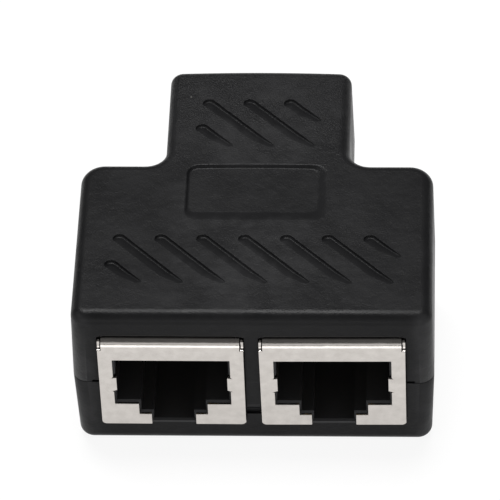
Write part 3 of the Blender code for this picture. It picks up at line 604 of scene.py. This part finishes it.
def shield_finger(side):
    """Spring finger that runs back along the cavity's side wall, with a flared tip."""
    inner = CAVITY_WIDTH / 2 + LEAD_IN - SPRING_REACH
    bend = SPRING_LENGTH - SPRING_TIP
    half = SPRING_WIDTH / 2 - SPRING_PLAY
    bm = block((inner, SHEET / 2, SPRING_HEIGHT - half), (inner + SHEET, bend, SPRING_HEIGHT + half))
    end = max(bm.faces, key=lambda f: f.calc_center_median().y)
    drawn_out(bm, end, (SHEET, SPRING_TIP, 0.0))
    round_edges(bm, edges_at(bm, lambda co: co.y > SPRING_LENGTH - HAIR), SPRING_EDGE, FINE_STEPS)
    bmesh.ops.scale(bm, verts=bm.verts, vec=(side, 1.0, 1.0))
    return finished(bm, "finger")


def folded_shield():
    """Shield of one socket, with the front plate's lower middle at the origin."""
    half = JACK_WIDTH / 2
    body = placed("shield", folded_box(0.0, TAIL_END))
    boolean(body, folded_box(SHEET, TAIL_END - MM), "DIFFERENCE")
    trims = [block((-half - MM, -MM, TAIL_END - MM),
                   (half + MM, TAIL_PLACE - TAIL_WIDTH / 2, 0.0)),
             block((-half - MM, TAIL_PLACE + TAIL_WIDTH / 2, TAIL_END - MM),
                   (half + MM, JACK_DEPTH + MM, 0.0))]
    boolean(body, joined("trims", [finished(bm, "trim") for bm in trims]), "DIFFERENCE")
    bm = rounded_field(mouth_outline(), [(2 * SHEET_EDGE, lambda co: co.y > CAVITY_TOP - HAIR)])
    sink(bm, [(0.0, HAIR)] + lip(SHEET_EDGE) + [(0.0, SHEET)])
    facing_front(bm)
    boolean(body, finished(bm, "mouth"), "DIFFERENCE")
    slit_end = JACK_HEIGHT - SLIT_LENGTH
    r = STRIP_SETBACK
    sweep = [(r * math.cos(a), slit_end + r + r * math.sin(a))
             for a in (math.pi / 2 * (k / ARC_STEPS - 1) for k in range(ARC_STEPS + 1))]
    sweep = [(-MM, slit_end)] + sweep + [(r, JACK_HEIGHT + MM), (-MM, JACK_HEIGHT + MM)]
    slits, setbacks, drops, corners = [], [], [], []
    for side in (-1, 1):
        outer, inner = side * (half - STRIP_WIDTH), side * (half - STRIP_WIDTH - SLIT_WIDTH)
        slits.append(finished(block((min(inner, outer), -MM, slit_end),
                                    (max(inner, outer), FRONT_BEND, JACK_HEIGHT + MM)), "slit"))
        start, end = (inner + outer) / 2, side * (half + MM)
        setbacks.append(prism([(start, y, z) for y, z in sweep], (end - start, 0.0, 0.0)))
        centre = side * (half - PLATE_CORNER)
        turn = [(centre + side * PLATE_CORNER * math.cos(a), PLATE_CORNER * (1 + math.sin(a)))
                for a in (-math.pi / 2 * k / ARC_STEPS for k in range(ARC_STEPS + 1))]
        turn += [(centre, -MM), (side * (half + MM), -MM), (side * (half + MM), PLATE_CORNER)]
        corners.append(prism([(x, -MM, z) for x, z in turn], (0.0, SHEET + MM, 0.0)))
        drops.append(finished(block((min(outer, end), -MM, JACK_HEIGHT - STRIP_DROP),
                                    (max(outer, end), FRONT_BEND, JACK_HEIGHT + MM)), "drop"))
    for name, cutters in (("slits", slits), ("setbacks", setbacks), ("drops", drops),
                          ("corners", corners)):
        boolean(body, joined(name, cutters), "DIFFERENCE")
    boolean(body, joined("fingers", [shield_finger(side) for side in (-1, 1)]), "UNION")
    mesh = body.data
    bpy.data.objects.remove(body, do_unlink=True)
    return mesh


def moulded_insert():
    """Insert of one socket, seated on the plate: stepped cavity, comb of wire slots, pegs."""
    half = INSERT_WIDTH / 2
    body = placed("insert", finished(block((-half, INSERT_FRONT, 0.0),
                                           (half, INSERT_BACK, INSERT_TOP)), "insert"))
    m, k, c = (w / 2 + LEAD_IN for w in (CAVITY_WIDTH, KEY_WIDTH, LATCH_WIDTH))
    key, floor = KEY_FLOOR - LEAD_IN, CAVITY_FLOOR - LEAD_IN
    outline = [(c, LATCH_LIP), (c, key), (k, key), (k, floor), (m, floor), (m, CAVITY_TOP)]
    outline += [(-x, z) for x, z in reversed(outline)]
    bm = bmesh.new()
    mouth = polygon(bm, [(x, INSERT_FRONT - MM, z) for x, z in outline])
    for depth, lead in ((MM, 0.0), (INSERT_LEAD, INSERT_LEAD),
                        (CAVITY_DEPTH - INSERT_FRONT - INSERT_LEAD, 0.0)):
        for v in drawn_out(bm, mouth, (0.0, depth, 0.0)):
            if lead:
                v.co.x -= math.copysign(lead, v.co.x)
                climb = lead if v.co.z > key / 2 else LATCH_FLOOR - LATCH_LIP
                v.co.z += 0.0 if v.co.z > SPRING_HEIGHT else climb
        mouth = max(bm.faces, key=lambda f: f.calc_center_median().y)
    boolean(body, finished(bm, "cavity"), "DIFFERENCE")
    reach = CAVITY_WIDTH / 2 + LEAD_IN + CLEARANCE
    start, room = reach - 2 * CLEARANCE - LEAD_IN, SPRING_WIDTH / 2 + CLEARANCE
    pockets = []
    for side in (-1, 1):
        ends = sorted((side * start, side * reach))
        pockets.append(finished(block((ends[0], INSERT_FRONT - MM, SPRING_HEIGHT - room),
                                      (ends[1], SPRING_LENGTH + 2 * CLEARANCE,
                                       SPRING_HEIGHT + room)), "pocket"))
    boolean(body, joined("pockets", pockets), "DIFFERENCE")
    slots = []
    for i in range(CONTACTS):
        x = (i - (CONTACTS - 1) / 2) * CONTACT_PITCH - SLOT_WIDTH / 2
        rear = WIRE_ROWS[(i + 1) % 2]
        side_view = [(COMB_FRONT, INSERT_TOP + MM), (COMB_FRONT, CAVITY_TOP - CLEARANCE),
                     (COMB_BACK, CAVITY_TOP - CLEARANCE), (COMB_BACK, WIRE_CHANNEL),
                     (rear, WIRE_CHANNEL), (rear, -MM), (INSERT_BACK + MM, -MM),
                     (INSERT_BACK + MM, INSERT_TOP + MM)]
        slots.append(prism([(x, y, z) for y, z in side_view], (SLOT_WIDTH, 0.0, 0.0)))
    boolean(body, joined("slots", slots), "DIFFERENCE")
    bm = bmesh.new()
    for side in (-1, 1):
        bmesh.ops.create_cone(bm, cap_ends=True, segments=32, radius1=PEG_RADIUS,
                              radius2=PEG_RADIUS, depth=PEG_LENGTH + LATCH_FLOOR,
                              matrix=Matrix.Translation((side * PEG_SPREAD / 2, PEG_PLACE,
                                                         (LATCH_FLOOR - PEG_LENGTH) / 2)))
    boolean(body, finished(bm, "pegs"), "UNION")
    mesh = body.data
    bpy.data.objects.remove(body, do_unlink=True)
    return mesh


def smooth(piece, angle):
    """Shades curved faces smooth up to an angle, while broad and level faces stay flat, and
    leaves no edge too short to hold a face."""
    bm = bmesh.new()
    bm.from_mesh(piece.data)
    for face in bm.faces:
        longest = max(edge.calc_length() for edge in face.edges)
        level = abs(face.normal.z) > LEVEL
        face.smooth = face.calc_area() < longest * BROAD_FACE and not level
    bmesh.ops.triangulate(bm, faces=[f for f in bm.faces if len(f.verts) > 4],
                          ngon_method="EAR_CLIP")
    bmesh.ops.dissolve_degenerate(bm, edges=bm.edges, dist=SAME_PLACE)
    # A sliver that is collapsed can leave one loose triangle
    flaps = [face for face in bm.faces if sum(edge.is_boundary for edge in face.edges) > 1]
    bmesh.ops.delete(bm, geom=flaps, context="FACES")
    for edge in bm.edges:
        edge.smooth = edge.calc_face_angle(math.pi) < math.radians(angle)
    bm.to_mesh(piece.data)
    bm.free()


def dressed(piece, finish, node):
    """Gives a piece its finish and its place in the model."""
    piece.data.materials.clear()
    piece.data.materials.append(finish)
    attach(piece, "root")
    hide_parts(node)
    return piece


# Finishes

def linear(code):
    """Linear colour of an sRGB hex code."""
    values = [int(code[i:i + 2], 16) / 255 for i in (1, 3, 5)]
    return [v / 12.92 if v <= 0.04045 else ((v + 0.055) / 1.055) ** 2.4 for v in values] + [1.0]


def new_material(name):
    """Material without nodes, and its tree."""
    made = bpy.data.materials.new(name)
    made.use_nodes = True
    made.node_tree.nodes.clear()
    return made, made.node_tree


def add(tree, kind, inputs=None, **settings):
    """Adds a node. Each input, by name or place, is given a value, a socket or a node, which
    stands for its first output; settings are the node's properties or, by name, its inputs."""
    node = tree.nodes.new("ShaderNode" + kind)
    for key, value in settings.items():
        if hasattr(node, key):
            setattr(node, key, value)
        else:
            node.inputs[key.replace("_", " ")].default_value = value
    for key, source in (inputs or {}).items():
        if isinstance(source, float):
            node.inputs[key].default_value = source
        else:
            socket = source.outputs[0] if isinstance(source, bpy.types.Node) else source
            tree.links.new(socket, node.inputs[key])
    return node


def moulded_abs():
    """Black ABS from a spark-eroded mould: nearly neutral black. Its fine grain breaks the gloss
    into soft sparkle. Painted light makes the roof's level, its middle and the front's outer ends
    greyer, painted shade darkens the recesses, walls and foot, and a few dust specks lie on it."""
    made, tree = new_material("moulded_abs")
    place = add(tree, "TexCoord").outputs["Object"]
    across, along, up = add(tree, "SeparateXYZ", {0: place}).outputs
    # Grain of the mould, drawn 0.17 mm wide, coarser than it is, so that it shows; the mould's
    # slight unevenness; and clouds where handling has polished it
    grain = add(tree, "TexNoise", {"Vector": place}, Scale=1 / (0.17 * MM), Detail=2.0,
                Roughness=0.6)
    uneven = add(tree, "TexNoise", {"Vector": place}, Scale=1 / (1.3 * MM), Detail=3.0,
                 Roughness=0.55)
    clouds = add(tree, "TexNoise", {"Vector": place}, Scale=1 / (5.0 * MM), Detail=3.0)
    coarse = add(tree, "MapRange", {"Value": along}, From_Min=2.0 * MM, From_Max=17.0 * MM,
                 To_Min=0.8, To_Max=3.0)
    grains = add(tree, "Math", {0: grain, 1: coarse}, operation="MULTIPLY")
    swells = add(tree, "Math", {0: uneven, 1: 1.8}, operation="MULTIPLY")
    height = add(tree, "Math", {0: grains, 1: swells}, operation="ADD")
    bump = add(tree, "Bump", {"Height": height}, Strength=1.0, Distance=0.03 * MM)
    gloss = add(tree, "MapRange", {"Value": clouds}, From_Min=0.35, From_Max=0.65, To_Min=0.32,
                To_Max=0.42)

    # Painted light and shade: lighter on the roof's level, its middle and the front's outer ends;
    #     # painted shade in the grooves and label recess, on the walls and along the foot
    aside = add(tree, "Math", {0: across}, operation="ABSOLUTE")
    # Painted light on the roof's level; painted shade on the walls and in the grooves and label recess
    roof = add(tree, "MapRange", {"Value": up}, From_Min=HOUSING_HEIGHT - 0.32 * MM,
               From_Max=HOUSING_HEIGHT - 0.02 * MM, To_Min=0.66)
    # Painted shade along the foot, where the floor's shadow falls
    painted_foot_shade = add(tree, "MapRange", {"Value": up}, From_Min=2.5 * MM, From_Max=5.0 * MM)
    # Painted light in the middle, painted shade towards the sides
    middle = add(tree, "MapRange", {"Value": aside}, From_Min=4.0 * MM, From_Max=18.0 * MM,
                 To_Min=1.2, To_Max=0.5)
    # Share of painted light: the roof's level, above the foot, the middle
    raised = add(tree, "Math", {0: roof, 1: painted_foot_shade}, operation="MULTIPLY")
    raised = add(tree, "Math", {0: raised, 1: middle}, operation="MULTIPLY")
    # Painted light on the front's outer ends
    outer = add(tree, "MapRange", {"Value": aside}, From_Min=16.6 * MM, From_Max=18.2 * MM)
    front = add(tree, "MapRange", {"Value": along}, From_Min=-17.5 * MM, From_Max=-19.0 * MM)
    painted_cheek_light = add(tree, "Math", {0: outer, 1: front}, operation="MULTIPLY")
    painted_cheek_light = add(tree, "Math", {0: painted_cheek_light, 1: 1.6}, operation="MULTIPLY")
    painted_light_share = add(tree, "Math", {0: raised, 1: painted_cheek_light}, operation="MAXIMUM")
    # Random patches of tone on top of the painted light and shade
    for pattern, least, most in ((uneven, 0.85, 1.15), (clouds, 0.8, 1.2)):
        patchy = add(tree, "MapRange", {"Value": pattern}, From_Min=0.38, From_Max=0.62,
                     To_Min=least, To_Max=most)
        painted_light_share = add(tree, "Math", {0: painted_light_share, 1: patchy}, operation="MULTIPLY")
    # Painted shade where the share is low, painted light where it is high
    colour = add(tree, "MixRGB", {"Fac": painted_light_share}, Color1=linear("#0e0e0f"),
                 Color2=linear("#161617"))
    # Painted light: lighter grey where the middle and the front's ends push the share over one
    painted_light_excess = add(tree, "Math", {0: painted_light_share, 1: 1.0}, operation="SUBTRACT")
    colour = add(tree, "MixRGB", {"Fac": painted_light_excess, "Color1": colour}, Color2=linear("#242425"))

    # Dust: a speck in one cell of twenty or so, with cells 2.6 mm wide
    spots = add(tree, "TexVoronoi", {"Vector": place}, Scale=1 / (2.6 * MM))
    speck = add(tree, "MapRange", {"Value": spots}, From_Min=0.05, From_Max=0.035)
    chance = add(tree, "SeparateColor", {"Color": spots.outputs["Color"]})
    chosen = add(tree, "MapRange", {"Value": chance}, From_Min=0.93, From_Max=0.95)
    speck = add(tree, "Math", {0: speck, 1: chosen}, operation="MULTIPLY")
    colour = add(tree, "MixRGB", {"Fac": speck, "Color1": colour}, Color2=linear("#8c8a86"))
    shader = add(tree, "BsdfPrincipled", {"Base Color": colour, "Roughness": gloss, "Normal": bump},
                 IOR=1.5, Specular_IOR_Level=0.1)
    add(tree, "OutputMaterial", {"Surface": shader})
    return made


def nickel_plated_brass():
    """Nickel-plated brass sheet: pale warm grey, smooth, with faint rolling lines."""
    made, tree = new_material("nickel_plated_brass")
    place = add(tree, "TexCoord").outputs["Object"]
    stretch = add(tree, "Mapping", {"Vector": place}, Scale=(0.1, 1.0, 1.0))
    # Real rolling lines are finer; they are drawn 0.12 mm apart so that they show
    lines = add(tree, "TexNoise", {"Vector": stretch}, Scale=1 / (0.12 * MM), Detail=2.0)
    gloss = add(tree, "MapRange", {"Value": lines}, From_Min=0.3, From_Max=0.7, To_Min=0.16,
                To_Max=0.24)
    bump = add(tree, "Bump", {"Height": lines}, Strength=0.05, Distance=0.01 * MM)
    stain = add(tree, "TexNoise", {"Vector": place}, Scale=1 / (1.1 * MM), Detail=3.0)
    share = add(tree, "MapRange", {"Value": stain}, From_Min=0.3, From_Max=0.7)
    tone = add(tree, "MixRGB", {"Fac": share}, Color1=linear("#c2bdb8"), Color2=linear("#cdc8c3"))
    shader = add(tree, "BsdfPrincipled", {"Base Color": tone, "Roughness": gloss, "Normal": bump},
                 Metallic=1.0)
    add(tree, "OutputMaterial", {"Surface": shader})
    return made


def moulded_pbt():
    """Black glass-filled polyester of the inserts: duller than the housing, so that the mouths
    stay deep and dark."""
    made, tree = new_material("moulded_pbt")
    place = add(tree, "TexCoord").outputs["Object"]
    grain = add(tree, "TexNoise", {"Vector": place}, Scale=1 / (0.25 * MM), Detail=2.0)
    bump = add(tree, "Bump", {"Height": grain}, Strength=0.25, Distance=0.01 * MM)
    tone = add(tree, "MixRGB", {"Fac": grain}, Color1=linear("#1c1c1d"), Color2=linear("#252526"))
    shader = add(tree, "BsdfPrincipled", {"Base Color": tone, "Normal": bump}, Roughness=0.45,
                 IOR=1.5, Specular_IOR_Level=0.25)
    add(tree, "OutputMaterial", {"Surface": shader})
    return made


def gold_flash():
    """Phosphor bronze wire with a thin gold plating: warm glints, duller where it is worn."""
    made, tree = new_material("gold_flash")
    place = add(tree, "TexCoord").outputs["Object"]
    wear = add(tree, "TexNoise", {"Vector": place}, Scale=1 / (0.4 * MM), Detail=2.0)
    gloss = add(tree, "MapRange", {"Value": wear}, From_Min=0.3, From_Max=0.7, To_Min=0.2,
                To_Max=0.34)
    shader = add(tree, "BsdfPrincipled", {"Roughness": gloss}, Base_Color=linear("#e6c06f"),
                 Metallic=1.0)
    add(tree, "OutputMaterial", {"Surface": shader})
    return made


def lacquered_laminate():
    """Glass-cloth laminate under green solder lacquer: deep green with a soft gloss, and the
    cloth's weave faintly raised."""
    made, tree = new_material("lacquered_laminate")
    place = add(tree, "TexCoord").outputs["Object"]
    # A wave of this node is pi / 10 long at scale 1; the cloth's threads are 0.5 mm apart
    weave = add(tree, "TexWave", {"Vector": place}, Scale=math.pi / 10 / (0.5 * MM),
                Distortion=0.6).outputs["Fac"]
    bump = add(tree, "Bump", {"Height": weave}, Strength=0.15, Distance=0.01 * MM)
    tone = add(tree, "MixRGB", {"Fac": weave}, Color1=linear("#1f5a37"), Color2=linear("#28683f"))
    shader = add(tree, "BsdfPrincipled", {"Base Color": tone, "Normal": bump}, Roughness=0.3,
                 IOR=1.5)
    add(tree, "OutputMaterial", {"Surface": shader})
    return made


# Surroundings

def white_floor():
    """Plain floor that is seen as white, directly, in reflections and through clear bodies, and
    keeps the object's shadow."""
    bm = bmesh.new()
    bmesh.ops.create_circle(bm, cap_ends=True, radius=1.5, segments=64)
    floor = placed("floor", finished(bm, "floor"))
    made, tree = new_material("white_floor")
    path = add(tree, "LightPath").outputs
    seen = add(tree, "Math", {0: path["Is Camera Ray"], 1: path["Is Glossy Ray"]},
               operation="MAXIMUM")
    seen = add(tree, "Math", {0: seen, 1: path["Is Transmission Ray"]}, operation="MAXIMUM")
    # The matt part that is left takes the shadow
    white_share = add(tree, "Math", {0: seen, 1: 0.88}, operation="MULTIPLY")
    matt = add(tree, "BsdfDiffuse", Color=linear("#fcfcfc"))
    white = add(tree, "Emission", Strength=1.0)
    surface = add(tree, "MixShader", {0: white_share, 1: matt, 2: white})
    add(tree, "OutputMaterial", {"Surface": surface})
    floor.data.materials.append(made)


def pale_surroundings():
    """Weak, even light from all round."""
    world = bpy.data.worlds.new("surroundings")
    world.use_nodes = True
    tree = world.node_tree
    tree.nodes.clear()
    around = add(tree, "Background", Strength=0.12)
    add(tree, "OutputWorld", {"Surface": around})
    bpy.context.scene.world = world


def lamp(name, azimuth, elevation, distance, width, height, radiance):
    """Soft box that faces the object; azimuth 0 is in front of it and 90 on its right."""
    light = bpy.data.lights.new(name, "AREA")
    light.shape = "RECTANGLE"
    light.size, light.size_y = width, height
    light.energy = radiance * math.pi * width * height
    piece = bpy.data.objects.new(name, light)
    a, e = math.radians(azimuth), math.radians(elevation)
    towards = Vector((math.sin(a) * math.cos(e), -math.cos(a) * math.cos(e), math.sin(e)))
    piece.location = towards * distance + Vector((0.0, 0.0, HOUSING_HEIGHT / 2))
    piece.rotation_euler = towards.to_track_quat("Z", "Y").to_euler()
    bpy.context.scene.collection.objects.link(piece)


def camera():
    """Camera at the photograph's angle."""
    lens = bpy.data.cameras.new("camera")
    lens.sensor_width = 36.0
    lens.lens = LENS
    lens.clip_start, lens.clip_end = 0.01, 10.0
    piece = bpy.data.objects.new("camera", lens)
    a, e, roll = (math.radians(v) for v in VIEW_ANGLES)
    back = Vector((math.sin(a) * math.cos(e), -math.cos(a) * math.cos(e), math.sin(e)))
    level = Vector((math.cos(a), math.sin(a), 0.0))
    over = back.cross(level)
    right = level * math.cos(roll) + over * math.sin(roll)
    up = over * math.cos(roll) - level * math.sin(roll)
    eye = VIEW_CENTRE + back * VIEW_DISTANCE * MM
    turn = Matrix((right, up, back)).transposed().to_4x4()
    piece.matrix_world = Matrix.Translation(eye) @ turn
    bpy.context.scene.collection.objects.link(piece)
    bpy.context.scene.camera = piece


finishes = {"housing_plastic": moulded_abs(), "shield_plating": nickel_plated_brass(),
            "insert_plastic": moulded_pbt(), "contact_plating": gold_flash(),
            "board_laminate": lacquered_laminate()}
for part in frame["record"]["subparts"]:
    node = frame["nodes"][part["node"]]
    for material_slot in node.material_slots:
        material_slot.material = finishes[part["material_slot"]]

for half, node in ((upper_housing(), "upper_shell"), (lower_housing(), "lower_shell")):
    dressed(half, finishes["housing_plastic"], node)
    smooth(half, HOUSING_SHADING)

shield_mesh, insert_mesh = folded_shield(), moulded_insert()
for name, place in SOCKETS.items():
    for mesh, label, slot, node in ((shield_mesh, "folded_shield", "shield_plating", "shield"),
                                    (insert_mesh, "moulded_insert", "insert_plastic", "insert")):
        mesh = mesh.copy()
        mesh.transform(place)
        piece = dressed(placed(name + "_" + label, mesh), finishes[slot],
                        name + "_" + node)
        smooth(piece, SOCKET_SHADING)
for mesh in (shield_mesh, insert_mesh):
    bpy.data.meshes.remove(mesh)

white_floor()
pale_surroundings()
for box in LAMPS:
    lamp(*box)
camera()
bpy.context.scene.view_settings.view_transform = "Standard"
